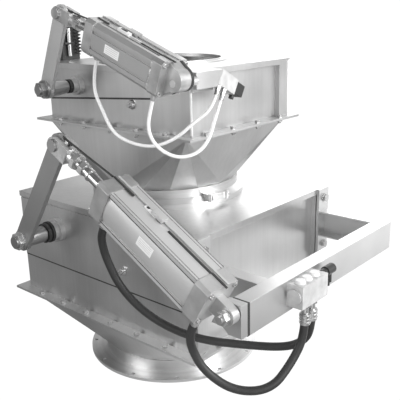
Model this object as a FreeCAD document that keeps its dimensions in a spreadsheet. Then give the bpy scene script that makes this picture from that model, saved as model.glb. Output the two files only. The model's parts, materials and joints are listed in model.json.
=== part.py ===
import FreeCAD, Part
import Sketcher
import math
import os
import re

# Two-stage pneumatic flap valve stack, in millimetres.
# +Z is up, the origin is the centre of the outlet ring's underside, the shafts turn about Y,
# the levers and cylinders stand outside the -Y walls and the recessed front panels face +X.

doc = FreeCAD.newDocument("FlapValveStack")
sheet = doc.addObject("Spreadsheet::Sheet", "Sizes")

SIZES = {
    # shared sheet metal
    "gauge": 3,
    "lip_depth": 12,
    "front_recess": 14,
    "front_post": 39,
    # outlet ring
    "ring_radius": 250,
    "ring_thick": 8,
    "ring_hole_count": 12,
    "ring_hole_radius": 5,
    "ring_bolt_radius": 238,
    "outlet_height": 40,
    # lower casing, hopper and flange
    "low_half_x": 333,
    "low_front_x": 347,
    "low_half_y": 277,
    "low_flange_x": 359,
    "low_flange_y": 304,
    "low_flange_z": 177,
    "low_flange_thick": 6,
    "low_top": 478,
    "low_outlet_radius": 201,
    "low_seam_z": 289,
    # upper casing, hopper and flange
    "up_half_x": 257,
    "up_front_x": 274,
    "up_half_y": 198,
    "up_flange_x": 290,
    "up_flange_y": 222,
    "up_flange_z": 681,
    "up_flange_thick": 6,
    "up_top": 839,
    "up_outlet_radius": 192,
    "up_seam_z": 742,
    "up_seam_start": -245,
    "up_seam_length": 388,
    "up_seam_rise": 25,
    "collar_top": 525,
    "collar_radius": 213,
    "collar_neck": 196,
    "inlet_radius": 160,
    "inlet_wall": 5,
    "inlet_height": 6,
    "feed_radius": 186,
    # flange bolts
    "bolt_pitch": 100,
    "bolt_radius": 5,
    "bolt_head": 6,
    # lower drive
    "low_drive_y": 390,
    "low_axis_x": -160,
    "low_axis_z": 398,
    "low_pin_x": 34,
    "low_pin_z": 678,
    "low_pivot_x": 531,
    "low_pivot_z": 398,
    "low_shaft_radius": 16,
    "low_lever_half": 26,
    "low_lever_thick": 12,
    "low_lever_hole": 17,
    "low_flap_reach": 378,
    "low_flap_half": 210,
    # lower cylinder
    "low_cap_half": 46.5,
    "low_cap_start": 36,
    "low_cap_length": 38,
    "low_barrel_end": 345,
    "low_bore": 40,
    "low_rod_radius": 12.5,
    "low_stroke": 165,
    "low_eye_radius": 20,
    "low_eye_width": 20,
    "low_pivot_radius": 8,
    "low_fork_half": 20,
    "low_fork_gap": 15,
    "low_fork_pin": 10,
    "low_screw_offset": 36,
    "low_profile_half": 44,
    "low_profile_curve": 90,
    "screw_radius": 6,
    # upper drive
    "up_drive_y": 296,
    "up_axis_x": -127,
    "up_axis_z": 784,
    "up_pin_x": -42,
    "up_pin_z": 968,
    "up_pivot_x": 331,
    "up_pivot_z": 825,
    "up_shaft_radius": 13,
    "up_lever_half": 22,
    "up_lever_thick": 10,
    "up_lever_hole": 12.2,
    "up_flap_reach": 278,
    "up_flap_half": 172,
    # upper cylinder
    "up_cap_half": 40,
    "up_cap_start": 22,
    "up_cap_length": 28,
    "up_barrel_end": 240,
    "up_bore": 31.5,
    "up_rod_radius": 10,
    "up_stroke": 98,
    "up_eye_radius": 25,
    "up_eye_width": 40,
    "up_port_back": 20,
    "up_port_side": 20,
    "up_pivot_radius": 8,
    "up_fork_half": 16,
    "up_fork_gap": 13,
    "up_fork_pin": 8,
    # bracket bar and valve block of the upper stage
    "up_bar_start": -247,
    "up_bar_bottom": 806,
    "up_bar_top": 842,
    "up_valve_y": -157,
    "up_valve_length": 62,
    "up_valve_depth": 35,
    "up_valve_lean": -29,
    # running fits and flap swing
    "fit_gap": 0.05,
    "flap_slope": 28,
    # frame round the lower front
    "frame_front_x": 553,
    "frame_bar_depth": 40,
    "frame_bottom": 344,
    "frame_top": 416,
    "frame_wall": 4,
    "frame_arm_in": 234,
    "frame_arm_out": 270,
    "frame_bar_end": 350,
    "pad_thick": 8,
    "plate_thick": 20,
    "frame_foot": 8,
    # hoses and tubes
    "hose_diameter": 19,
    "tube_diameter": 8,
}
for row, (alias, value) in enumerate(SIZES.items(), 1):
    sheet.set(f"A{row}", alias)
    sheet.set(f"B{row}", str(value))
    sheet.setAlias(f"B{row}", alias)
doc.recompute()
PIECES = {}


def size(alias):
    return float(getattr(sheet, alias))


def bound(text):
    return re.sub(r"[a-z][a-z_]+", lambda m: "Sizes." + m[0] if m[0] in SIZES else m[0], str(text))


def bind(obj, **paths):
    for path, text in paths.items():
        obj.setExpression(path.replace("_at_", "Placement.Base."), bound(text))
    return obj


def block(x, y, z):
    """Box between pairs of sheet expressions."""
    obj = doc.addObject("Part::Box", "Block")
    return bind(obj, Length=f"({x[1]})-({x[0]})", Width=f"({y[1]})-({y[0]})",
                Height=f"({z[1]})-({z[0]})", _at_x=x[0], _at_y=y[0], _at_z=z[0])


def rod(axis, at, radius, length, cone=None):
    """Cylinder, or cone with end radius cone, from a point along +axis."""
    obj = doc.addObject("Part::Cone" if cone is not None else "Part::Cylinder", "Rod")
    turn = {"x": ((0, 1, 0), 90), "y": ((1, 0, 0), -90), "z": ((0, 0, 1), 0)}[axis]
    obj.Placement = FreeCAD.Placement(FreeCAD.Vector(), FreeCAD.Rotation(FreeCAD.Vector(turn[0]), turn[1]))
    bind(obj, Height=length, _at_x=at[0], _at_y=at[1], _at_z=at[2])
    if cone is None:
        return bind(obj, Radius=radius)
    return bind(obj, Radius1=radius, Radius2=cone)


def hexagon(axis, at, across, length):
    """Hexagonal prism for nuts and bolt heads; across is the width over flats."""
    obj = doc.addObject("Part::Prism", "Hexagon")
    obj.Polygon = 6
    turn = {"x": ((0, 1, 0), 90), "y": ((1, 0, 0), -90), "z": ((0, 0, 1), 0)}[axis]
    obj.Placement = FreeCAD.Placement(FreeCAD.Vector(), FreeCAD.Rotation(FreeCAD.Vector(turn[0]), turn[1]))
    return bind(obj, Circumradius=f"({across})/sqrt(3)", Height=length, _at_x=at[0], _at_y=at[1], _at_z=at[2])


def join(*parts):
    if len(parts) == 1:
        return parts[0]
    obj = doc.addObject("Part::MultiFuse", "Join")
    obj.Shapes = list(parts)
    return obj


def cut(base, *tools):
    obj = doc.addObject("Part::Cut", "Cut")
    obj.Base, obj.Tool = base, join(*tools)
    return obj


def common(*parts):
    obj = doc.addObject("Part::MultiCommon", "Common")
    obj.Shapes = list(parts)
    return obj


def group(*parts):
    obj = doc.addObject("Part::Compound", "Group")
    obj.Links = list(parts)
    return obj


def free_shape(shape):
    obj = doc.addObject("Part::Feature", "Shape")
    obj.Shape = shape
    return obj


def turned(obj, at, angle):
    """Put a piece built about the origin at a pivot, turned about Y by a sheet expression."""
    obj.Placement = FreeCAD.Placement(FreeCAD.Vector(), FreeCAD.Rotation(FreeCAD.Vector(0, 1, 0), 1))
    bind(obj, _at_x=at[0], _at_y=at[1], _at_z=at[2])
    obj.setExpression("Placement.Rotation.Angle", bound(angle))
    return obj


def piece(label, obj):
    obj.Label = label
    PIECES[label] = obj
    return obj


def hopper(half_x, half_y, top, radius, bottom, facets=4):
    """Square-to-round shell: a flat triangle on each side and folded facets at each corner."""
    def skin(inset):
        hx, hy, r = half_x - inset, half_y - inset, radius - inset
        corners = [FreeCAD.Vector(sx * hx, sy * hy, top) for sx, sy in ((1, 1), (-1, 1), (-1, -1), (1, -1))]
        count = 4 * facets
        circle = [FreeCAD.Vector(r * math.cos(2 * math.pi * k / count), r * math.sin(2 * math.pi * k / count),
                                 bottom) for k in range(count)]
        tri = []
        for q, corner in enumerate(corners):
            for k in range(facets):
                tri.append((corner, circle[q * facets + k], circle[(q * facets + k + 1) % count]))
            tri.append((corner, circle[(q + 1) * facets % count], corners[(q + 1) % 4]))
        faces = [Part.Face(Part.makePolygon([*t, t[0]])) for t in tri]
        faces.append(Part.Face(Part.makePolygon([*corners, corners[0]])))
        faces.append(Part.Face(Part.makePolygon([*circle, circle[0]])))
        solid = Part.makeSolid(Part.makeShell(faces))
        if solid.Volume < 0:
            solid.reverse()
        return solid
    return free_shape(skin(0).cut(skin(size("gauge"))).removeSplitter())


def route(points, diameter):
    """Tube along straight runs joined by tangent arcs; prints the arcs' radii."""
    pts = [FreeCAD.Vector(*p) for p in points]
    edges, start, radii = [], pts[0], []
    for a, b, c in zip(pts, pts[1:], pts[2:]):
        u, v = (b - a).normalize(), (c - b).normalize()
        half = u.getAngle(v) / 2
        back = 0.45 * min((b - a).Length, (c - b).Length)
        radii.append(back / math.tan(half))
        p, q = b - u * back, b + v * back
        mid = b + (v - u).normalize() * radii[-1] * (1 / math.cos(half) - 1)
        edges += [Part.LineSegment(start, p).toShape(), Part.Arc(p, mid, q).toShape()]
        start = q
    edges.append(Part.LineSegment(start, pts[-1]).toShape())
    path = Part.Wire(edges)
    ring = Part.Wire(Part.makeCircle(diameter / 2, pts[0], pts[1] - pts[0]))
    tube = path.makePipeShell([ring], True, True)
    length = sum(e.Length for e in edges)
    area = math.pi * diameter ** 2 / 4
    print(f"tube: length {length:.0f}, least radius {min(radii):.0f}, radii {[round(r) for r in radii]}, "
          f"volume ratio {tube.Volume / (area * length):.3f}")
    return free_shape(tube)


def casing(half_x, front_x, half_y, bottom, top, holes):
    """Folded sheet box, open below and above, with a recessed front panel and returned side edges."""
    g = "gauge"
    inner_x, inner_y = f"{half_x}-gauge", f"({half_y})-2*gauge"
    shell = cut(block((f"-({half_x})+gauge", f"({front_x})-gauge"),
                      (f"-({half_y})+gauge", f"({half_y})-gauge"),
                      (bottom, top)),
                block((f"-({half_x})+2*gauge", f"({front_x})-front_recess-2*gauge"),
                      (f"-({inner_y})", inner_y), (f"({bottom})-1", f"({top})+1")),
                block((f"({front_x})-front_recess-gauge", f"({front_x})+1"),
                      (f"-({half_y})+front_post+gauge", f"({half_y})-front_post-gauge"),
                      (f"({bottom})-1", f"({top})+1")),
                *[block((f"({front_x})-front_recess-3*gauge", f"({front_x})-2*gauge"), ys,
                        (f"({bottom})-1", f"({top})+1"))
                  for ys in ((f"-({inner_y})", f"-({half_y})+front_post"),
                             (f"({half_y})-front_post", inner_y))],
                *holes)
    return shell


def tray(half_x, front_x, half_y, top, hole):
    """Top plate with a lip folded down over the walls; the front lip stops at the posts."""
    return cut(join(cut(block((f"-({half_x})", f"{half_x}"), (f"-({half_y})", half_y),
                              (f"({top})-lip_depth-gauge", top)),
                        block((f"-({half_x})+gauge", f"({half_x})+1"),
                              (f"-({half_y})+gauge", f"({half_y})-gauge"),
                              (f"({top})-lip_depth-gauge-1", f"({top})-gauge"))),
                    block((f"({half_x})-1", front_x), (f"-({half_y})", half_y), (f"({top})-gauge", top)),
                    block((f"({half_x})-1", f"({front_x})-gauge"), (f"-({half_y})", f"-({half_y})+gauge"),
                          (f"({top})-lip_depth-gauge", top)),
                    block((f"({half_x})-1", f"({front_x})-gauge"), (f"({half_y})-gauge", half_y),
                          (f"({top})-lip_depth-gauge", top)),
                    block((f"({front_x})-gauge", front_x),
                          (f"-({half_y})+front_post+gauge", f"({half_y})-front_post-gauge"),
                          (f"({top})-lip_depth-gauge", top))),
               rod("z", (0, 0, f"({top})-gauge-1"), hole, "gauge+2"))


def flange_frame(half_x, half_y, wall_x, wall_y, front_x, bottom, thick, holes):
    """Flat flange between casing and hopper."""
    return cut(block((f"-({half_x})", half_x), (f"-({half_y})", half_y), (bottom, f"({bottom})+({thick})")),
               block((f"-({wall_x})+gauge+8", f"({wall_x})-gauge-8"),
                     (f"-({wall_y})+gauge+8", f"({wall_y})-gauge-8"),
                     (f"({bottom})-1", f"({bottom})+({thick})+1")), *holes)


# ---------------------------------------------------------------- outlet ring
ring_holes = []
for k in range(int(size("ring_hole_count"))):
    turn = math.radians(15 + 30 * k)
    ring_holes.append(rod("z", (f"ring_bolt_radius*{math.cos(turn):.6f}",
                                f"ring_bolt_radius*{math.sin(turn):.6f}",
                                -1), "ring_hole_radius", "ring_thick+2"))
piece("lower_outlet_ring", cut(
    join(rod("z", (0, 0, 0), "ring_radius", "ring_thick"),
         rod("z", (0, 0, 0), "low_outlet_radius+gauge", "outlet_height")),
    rod("z", (0, 0, -1), "low_outlet_radius", "outlet_height+2"), *ring_holes))

# ---------------------------------------------------------------- lower casing
piece("lower_hopper", hopper(size("low_half_x") + 8, size("low_half_y") + 8, size("low_flange_z"),
                             size("low_outlet_radius") + size("gauge"), size("outlet_height")))
LOW_ROW = [(k - 2.5) for k in range(6)]
low_spots = [(f"{s}*bolt_pitch", f"{side}*(low_half_y+13)") for s in LOW_ROW for side in (-1, 1)]
low_spots += [(f"{side}*(low_half_x+13)", f"{s}*bolt_pitch") for s in (-2, -1, 0, 1, 2) for side in (-1, 1)]
piece("lower_flange_frame", flange_frame(
    "low_flange_x", "low_flange_y", "low_half_x", "low_half_y", "low_front_x", "low_flange_z",
    "low_flange_thick", [rod("z", (x, y, "low_flange_z-1"), "bolt_radius-1", 10) for x, y in low_spots]))


def flange_bolt(x, y, z, thick, nut):
    parts = [hexagon("z", (x, y, f"({z})+({thick})"), "2*bolt_radius+3", "bolt_head"),
             rod("z", (x, y, z), "bolt_radius-1", thick)]
    if nut:
        parts += [hexagon("z", (x, y, f"({z})-bolt_head"), "2*bolt_radius+3", "bolt_head"),
                  rod("z", (x, y, f"({z})-bolt_head-4"), "bolt_radius-1", 5)]
    return join(*parts)


def wall_knob(x, wall_y, z):
    return join(rod("y", (x, f"-({wall_y})-9", z), 9, 9, 12), rod("y", (x, f"-({wall_y})-16", z), 6, 8))


low_hole = rod("y", ("low_axis_x", "-low_half_y-5", "low_axis_z"), "low_shaft_radius+8", "2*low_half_y+10")
piece("lower_casing", casing("low_half_x", "low_front_x", "low_half_y", "low_flange_z+low_flange_thick",
                             "low_top-gauge", [low_hole]))
piece("lower_top_plate", tray("low_half_x", "low_front_x", "low_half_y", "low_top", "feed_radius"))
piece("lower_side_cover", cut(
    block(("-low_half_x+6", "low_front_x-gauge-6"), ("-low_half_y", "-low_half_y+gauge"),
          ("low_seam_z", "low_top-lip_depth-2*gauge")),
    rod("y", ("low_axis_x", "-low_half_y-5", "low_axis_z"), "low_shaft_radius+8", 20)))
low_gasket = block(("-low_half_x+6", "low_front_x-50"), ("-low_half_y+0.5", "-low_half_y+gauge"),
                   ("low_seam_z-4", "low_seam_z"))


def bearing(side, axis_x, axis_z, wall_y, shaft, flange, boss):
    """Flanged bearing on one wall; side -1 is the drive side."""
    start = f"-({wall_y})-15" if side < 0 else f"({wall_y})-gauge"
    nose = f"-({wall_y})-28" if side < 0 else f"({wall_y})-gauge+12"
    return cut(join(rod("y", (axis_x, start, axis_z), flange, 15),
                    rod("y", (axis_x, nose, axis_z), boss, 16)),
               rod("y", (axis_x, f"({start})-40", axis_z), f"({shaft})+fit_gap", 90))


piece("lower_bearings", group(
    bearing(-1, "low_axis_x", "low_axis_z", "low_half_y", "low_shaft_radius", 34, 27),
    bearing(1, "low_axis_x", "low_axis_z", "low_half_y", "low_shaft_radius", 34, 27)))

# ---------------------------------------------------------------- frame round the lower front
BAR_BACK = "frame_front_x-frame_bar_depth"
ARM_Z = ("frame_bottom", "frame_top")
piece("lower_frame_bar", cut(
    block((BAR_BACK, "frame_front_x"), ("-frame_bar_end", "frame_arm_out"), ARM_Z),
    block((f"{BAR_BACK}+frame_wall", "frame_front_x-frame_wall"),
          ("-frame_bar_end-1", "frame_arm_out-frame_wall"),
          ("frame_bottom+frame_wall", "frame_top-frame_wall"))))


def arm(side):
    ys = ("frame_arm_in", "frame_arm_out") if side > 0 else ("-frame_arm_out", "-frame_arm_in")
    hollow = (("frame_arm_in-1", "frame_arm_out-frame_wall") if side > 0
              else ("-frame_arm_out+frame_wall", "-frame_arm_in+1"))
    foot = ("low_half_y-front_post-gauge", "low_half_y+6") if side > 0 else (
        "-low_half_y-6", "-low_half_y+front_post+gauge")
    foot_x = ("low_front_x", "low_front_x+frame_foot")
    return cut(join(block(("low_front_x", BAR_BACK), ys, ARM_Z),
                    block(foot_x, foot, ("low_seam_z-5", "low_top"))),
               block(("low_front_x+frame_foot", f"{BAR_BACK}+1"), hollow,
                     ("frame_bottom+frame_wall", "frame_top-frame_wall")))


piece("lower_frame_arms", group(arm(-1), arm(1)))
FOOT_X = "low_front_x+frame_foot"
foot_bolts = [join(hexagon("x", (FOOT_X, f"{side}*(low_half_y-16)", z), 19, 9),
                   rod("x", (FOOT_X, f"{side}*(low_half_y-16)", z), 12, 2))
              for side in (-1, 1) for z in ("frame_bottom-30", "frame_top+35")]
piece("lower_bolts", group(*[flange_bolt(x, y, "low_flange_z", "low_flange_thick", False)
                             for x, y in low_spots],
                           *foot_bolts, wall_knob(98, "low_half_y", 340)))
piece("lower_bar_pad",
      block((BAR_BACK, "frame_front_x"), ("-frame_bar_end-pad_thick", "-frame_bar_end"), ARM_Z))
PLATE_Y = ("-frame_bar_end-pad_thick-plate_thick", "-frame_bar_end-pad_thick")


def sketched_plate(corners, y_from, thick):
    """PartDesign body: a plate in an XZ outline, padded along +Y from y_from."""
    body = doc.addObject("PartDesign::Body", "Body")
    sketch = body.newObject("Sketcher::SketchObject", "Outline")
    sketch.Placement = FreeCAD.Placement(FreeCAD.Vector(), FreeCAD.Rotation(FreeCAD.Vector(1, 0, 0), 90))
    sketch.setExpression("Placement.Base.y", bound(f"({y_from})+({thick})"))
    count = len(corners)
    spots = [FreeCAD.Vector(x, z, 0) for x, z in corners]
    for a, b in zip(spots, spots[1:] + spots[:1]):
        sketch.addGeometry(Part.LineSegment(a, b), False)
    for k in range(count):
        sketch.addConstraint(Sketcher.Constraint("Coincident", k, 2, (k + 1) % count, 1))
    pad = body.newObject("PartDesign::Pad", "Pad")
    pad.Profile = sketch
    pad.setExpression("Length", bound(thick))
    sketch.Visibility = False
    return body


PIVOT_X, PIVOT_Z, BAR_FRONT = size("low_pivot_x"), size("low_pivot_z"), size("frame_front_x")
piece("lower_pivot_plate", cut(
    sketched_plate([(PIVOT_X - 55, PIVOT_Z - 38), (PIVOT_X - 27, PIVOT_Z - 38), (PIVOT_X - 11, PIVOT_Z - 52),
                    (BAR_FRONT, PIVOT_Z - 52), (BAR_FRONT, PIVOT_Z + 20), (PIVOT_X - 22, PIVOT_Z + 20),
                    (PIVOT_X - 31, PIVOT_Z + 4), (PIVOT_X - 53, PIVOT_Z - 34)], PLATE_Y[0], "plate_thick"),
    rod("y", ("low_pivot_x", "-frame_bar_end-60", "low_pivot_z"), "low_pivot_radius", 90)))
piece("lower_pivot_bolt", join(
    rod("y", ("low_pivot_x", "-low_drive_y-31", "low_pivot_z"), "low_pivot_radius",
        "low_drive_y+31-frame_bar_end-pad_thick"),
    rod("y", ("low_pivot_x", "-low_drive_y-13", "low_pivot_z"), 15, 2.5),
    hexagon("y", ("low_pivot_x", "-low_drive_y-26", "low_pivot_z"), 26, 13)))

# ---------------------------------------------------------------- lower solenoid valve
VALVE_Y = (-221, -120)
VALVE_Z = (360, 412)
VALVE_X = ("frame_front_x", "frame_front_x+40")
piece("lower_valve_body", join(block(VALVE_X, VALVE_Y, VALVE_Z),
                               rod("y", ("frame_front_x+20", "-225", 386), 17, 4)))
piece("lower_valve_caps", group(*[rod("z", ("frame_front_x+22", y, VALVE_Z[1]), 12, 7, 10)
                                  for y in (-203, -177, -148)]))
GLAND_X = "frame_front_x+22"
piece("lower_valve_gland", join(
    rod("y", (GLAND_X, VALVE_Y[1], 404), 9, 44), rod("y", (GLAND_X, -102, 404), 11.5, 30),
    rod("z", (GLAND_X, -88, 376), 8, 28), rod("z", (GLAND_X, -88, 366), 4, 12)))
FIT_Y = (-178, -150)


def hose_fitting(x, y, z_top):
    """Hexagon nipple under the valve with a ribbed ferrule that holds the hose end."""
    return cut(join(hexagon("z", (x, y, f"({z_top})-12"), 22, 12), rod("z", (x, y, f"({z_top})-40"), 7.5, 40),
                    rod("z", (x, y, f"({z_top})-54"), "hose_diameter/2+2", 26),
                    *[rod("z", (x, y, f"({z_top})-{d}"), "hose_diameter/2+3.5", 3.5) for d in (34, 42, 50)]),
               rod("z", (x, y, f"({z_top})-60"), "hose_diameter/2", 30))


piece("lower_hose_fittings", group(*[hose_fitting("frame_front_x+20", y, VALVE_Z[0]) for y in FIT_Y]))

# ---------------------------------------------------------------- lower drive: shaft, lever and flap
DRIVE = "-low_drive_y"
OUT = "-low_drive_y-low_lever_thick/2"
LOW_AXIS = ("low_axis_x", 0, "low_axis_z")
piece("lower_shaft", join(
    rod("y", ("low_axis_x", f"{OUT}-22", "low_axis_z"), "low_shaft_radius", f"low_half_y-({OUT})+28"),
    rod("y", ("low_axis_x", "-low_drive_y+low_lever_thick/2", "low_axis_z"), 22,
        "low_drive_y-low_lever_thick/2-low_half_y-50"),
    rod("y", ("low_axis_x", "-low_half_y+18", "low_axis_z"), 24, "2*low_half_y-36")))
piece("lower_lever", turned(cut(
    join(block(("-low_lever_half", "low_lever_half"), ("-low_lever_thick/2", "low_lever_thick/2"),
               (0, "sqrt((low_pin_x-low_axis_x)^2+(low_pin_z-low_axis_z)^2)")),
         rod("y", (0, "-low_lever_thick/2", 0), "low_lever_half+2", "low_lever_thick"),
         rod("y", (0, "-low_lever_thick/2", "sqrt((low_pin_x-low_axis_x)^2+(low_pin_z-low_axis_z)^2)"),
             "low_lever_half", "low_lever_thick")),
    rod("y", (0, -20, 0), "low_shaft_radius", 40),
    rod("y", (0, -20, "sqrt((low_pin_x-low_axis_x)^2+(low_pin_z-low_axis_z)^2)"), "low_lever_hole", 40)),
    ("low_axis_x", DRIVE, "low_axis_z"), "atan2(low_pin_x-low_axis_x; low_pin_z-low_axis_z)"))
piece("lower_lever_nut", cut(
    join(rod("y", ("low_axis_x", f"{OUT}-4", "low_axis_z"), 25, 4),
         hexagon("y", ("low_axis_x", f"{OUT}-17", "low_axis_z"), 40, 13)),
    rod("y", ("low_axis_x", f"{OUT}-30", "low_axis_z"), "low_shaft_radius", 60)))


def flap(reach, half, shaft):
    """Flap plate with a clamp hub and three ribs, level, about its shaft."""
    return cut(join(block((f"-({shaft})-22", reach), (f"-({half})", half), (f"({shaft})+8", f"({shaft})+13")),
                    block((f"-({shaft})-16", f"({shaft})+16"), (f"-({half})+6", f"({half})-6"),
                          (f"-({shaft})-12", f"({shaft})+8.5")),
                    *[block((f"({shaft})+15", f"({reach})-30"), (f"({y})-4", f"({y})+4"),
                            (f"({shaft})-12", f"({shaft})+8.5"))
                      for y in (f"-({half})*0.7", 0, f"({half})*0.7")]),
               rod("y", (0, f"-({half})-10", 0), f"({shaft})", f"2*({half})+20"))


def flap_lip(reach, half, shaft):
    return cut(block((f"({shaft})+24", f"({reach})+7"), (f"-({half})-7", f"({half})+7"),
                     (f"({shaft})+13", f"({shaft})+17")),
               block((f"({shaft})+50", f"({reach})-20"), (f"-({half})+20", f"({half})-20"),
                     (f"({shaft})+10", f"({shaft})+20")))


piece("lower_flap", turned(flap("low_flap_reach", "low_flap_half", 24), LOW_AXIS, "flap_slope"))
piece("lower_flap_seal", turned(flap_lip("low_flap_reach", "low_flap_half", 24), LOW_AXIS, "flap_slope"))

# ---------------------------------------------------------------- lower cylinder, built along -X from its eye
LOW_PIVOT = ("low_pivot_x", DRIVE, "low_pivot_z")
LOW_TILT = "atan2(low_pin_z-low_pivot_z; low_pivot_x-low_pin_x)"
LOW_REACH = "sqrt((low_pin_x-low_pivot_x)^2+(low_pin_z-low_pivot_z)^2)"


def cap(start, length, half, chamfer):
    """Square cylinder cap with its long edges cut off; start is measured back from the eye."""
    obj = doc.addObject("Part::Chamfer", "Cap")
    obj.Base = block((f"-({start})-({length})", f"-({start})"), (f"-({half})", half), (f"-({half})", half))
    doc.recompute()
    obj.Edges = [(n, chamfer, chamfer) for n, edge in enumerate(obj.Base.Shape.Edges, 1)
                 if abs(edge.tangentAt(edge.FirstParameter).x) > 0.9]
    return obj


def port(x, half, reach, barb):
    """Threaded port adapter that leaves the underside of a cap."""
    return join(hexagon("z", (x, 0, f"-({half})-9"), 2 * barb + 3, 9),
                rod("z", (x, 0, f"-({half})-({reach})"), barb, f"({reach})+4"))


piece("lower_cyl_rear_cap", turned(cut(
    join(cap("low_cap_start", "low_cap_length", "low_cap_half", 7),
         rod("y", (0, "-low_eye_width/2", 0), "low_eye_radius", "low_eye_width"),
         block(("-low_cap_start-1", 0), ("-low_eye_width/2", "low_eye_width/2"),
               ("-low_eye_radius", "low_eye_radius"))),
    rod("y", (0, -30, 0), "low_pivot_radius+fit_gap", 60),
    rod("z", ("-low_cap_start-low_cap_length/2", 0, "-low_cap_half-1"), 9, 5)), LOW_PIVOT, LOW_TILT))
piece("lower_cyl_front_cap", turned(cut(
    join(cap("low_barrel_end", "low_cap_length", "low_cap_half", 7),
         rod("x", ("-low_barrel_end-low_cap_length-12", 0, 0), 24, 13)),
    rod("x", ("-low_barrel_end-low_cap_length-20", 0, 0), "low_rod_radius+fit_gap", 80),
    rod("z", ("-low_barrel_end-low_cap_length/2", 0, "-low_cap_half-1"), 9, 5)), LOW_PIVOT, LOW_TILT))
low_span = "low_barrel_end-low_cap_start-low_cap_length"
low_edges = ("-low_profile_half", "low_profile_half")
low_profile = join(
    common(block(("-low_barrel_end", "-low_cap_start-low_cap_length"), low_edges, low_edges),
           *[rod("x", ("-low_barrel_end", f"{a}*(low_profile_curve-low_profile_half)", 0),
                 "low_profile_curve",
                 low_span) for a in (-1, 1)]),
    *[block(("-low_barrel_end", "-low_cap_start-low_cap_length"), (f"{a}*36.5-5.5", f"{a}*36.5+5.5"),
            (f"{b}*38.5-5.5", f"{b}*38.5+5.5")) for a in (-1, 1) for b in (-1, 1)])
piece("lower_cyl_barrel", turned(cut(low_profile, rod("x", ("-low_barrel_end-1", 0, 0), "low_bore",
                                                    "low_barrel_end")),
                                 LOW_PIVOT, LOW_TILT))


def cap_screws(front, rear, offset, radius):
    """Socket screws in the outer faces of both caps."""
    heads = []
    for a in (-1, 1):
        for b in (-1, 1):
            y, z = f"{a}*({offset})", f"{b}*({offset})"
            heads.append(cut(rod("x", (f"-({front})-4", y, z), radius, 4),
                             hexagon("x", (f"-({front})-5", y, z), 6, 4)))
            heads.append(cut(rod("x", (f"-({rear})", y, z), radius, 4),
                             hexagon("x", (f"-({rear})+1", y, z), 6, 4)))
    return group(*heads)


piece("lower_cyl_screws", turned(cap_screws("low_barrel_end+low_cap_length", "low_cap_start",
                                            "low_screw_offset",
                                            "screw_radius"), LOW_PIVOT, LOW_TILT))
piece("lower_cyl_rail", turned(join(
    block(("-low_barrel_end-low_cap_length", "-low_cap_start"), (8, 13),
          ("low_cap_half", "low_cap_half+2.5")),
    block(("-low_barrel_end+86", "-low_barrel_end+118"), (0, 20), ("low_cap_half", "low_cap_half+9"))),
    LOW_PIVOT, LOW_TILT))
piece("lower_cyl_ports", turned(group(port("-low_barrel_end-low_cap_length/2", "low_cap_half", 38, 9),
                                      port("-low_cap_start-low_cap_length/2", "low_cap_half", 42, 9)),
                                LOW_PIVOT, LOW_TILT))
piece("lower_piston_rod", turned(join(
    rod("x", (f"-{LOW_REACH}+34", 0, 0), "low_rod_radius", f"{LOW_REACH}-34-low_barrel_end+low_stroke+5"),
    rod("x", ("-low_barrel_end+low_stroke+4", 0, 0), "low_bore-fit_gap", 26)), LOW_PIVOT, LOW_TILT))


def fork(reach, half, gap, pin, rod_radius, depth, with_pin):
    """Rod fork with its lock nut; the pin centre is at the reach."""
    body = cut(join(block((f"-({reach})", f"-({reach})+{depth}"), (f"-({half})", half), (f"-({half})", half)),
                    rod("y", (f"-({reach})", f"-({half})", 0), half, f"2*({half})"),
                    rod("x", (f"-({reach})+{depth}-1", 0, 0), f"({rod_radius})+5", 16),
                    hexagon("x", (f"-({reach})+{depth}+15", 0, 0), f"2*({rod_radius})+12", 12)),
               block((f"-({reach})-60", f"-({reach})+{depth}-12"), (f"-({gap})/2", f"({gap})/2"), (-60, 60)),
               rod("x", (f"-({reach})+{depth}-14", 0, 0), rod_radius, 60),
               rod("y", (f"-({reach})", -60, 0), pin, 120))
    pin_shape = join(rod("y", (f"-({reach})", f"-({half})-5", 0), pin, f"2*({half})+9"),
                     rod("y", (f"-({reach})", f"-({half})-5", 0), f"({pin})+5", 5),
                     rod("y", (f"-({reach})", f"{half}", 0), f"({pin})+4", 3))
    return join(body, pin_shape) if with_pin else (body, pin_shape)


low_fork, low_fork_pin = fork(LOW_REACH, "low_fork_half", "low_fork_gap", "low_fork_pin",
                              "low_rod_radius", 48, False)
piece("lower_fork", turned(low_fork, LOW_PIVOT, LOW_TILT))
piece("lower_fork_pin", turned(low_fork_pin, LOW_PIVOT, LOW_TILT))

# ---------------------------------------------------------------- clamp ring between the valves
piece("clamp_ring", cut(
    join(rod("z", (0, 0, "low_top"), "collar_radius", 14),
         rod("z", (0, 0, "low_top+14"), "collar_radius", 12, "collar_neck"),
         rod("z", (0, 0, "low_top+26"), "collar_neck", "collar_top-low_top-26")),
    rod("z", (0, 0, "low_top-1"), "up_outlet_radius-gauge", "collar_top-low_top+2")))
LATCH_TURN = FreeCAD.Rotation(FreeCAD.Vector(0, 0, 1), -10)
latch = join(block(("collar_neck-4", "collar_radius+10"), (-34, 34), ("low_top+15", "low_top+33")),
             block(("collar_radius+9", "collar_radius+16"), (-26, 10), ("low_top+19", "low_top+29")),
             rod("z", ("collar_radius+8", -28, "low_top+13"), 5, 22),
             rod("z", ("collar_radius+8", 26, "low_top+13"), 5, 22))
latch = cut(latch, rod("z", (0, 0, "low_top"), "collar_radius", 14),
            rod("z", (0, 0, "low_top+14"), "collar_radius", 12, "collar_neck"),
            rod("z", (0, 0, "low_top"), "collar_neck", 80))
latch.Placement = FreeCAD.Placement(FreeCAD.Vector(), LATCH_TURN)
piece("clamp_latch", latch)

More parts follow.
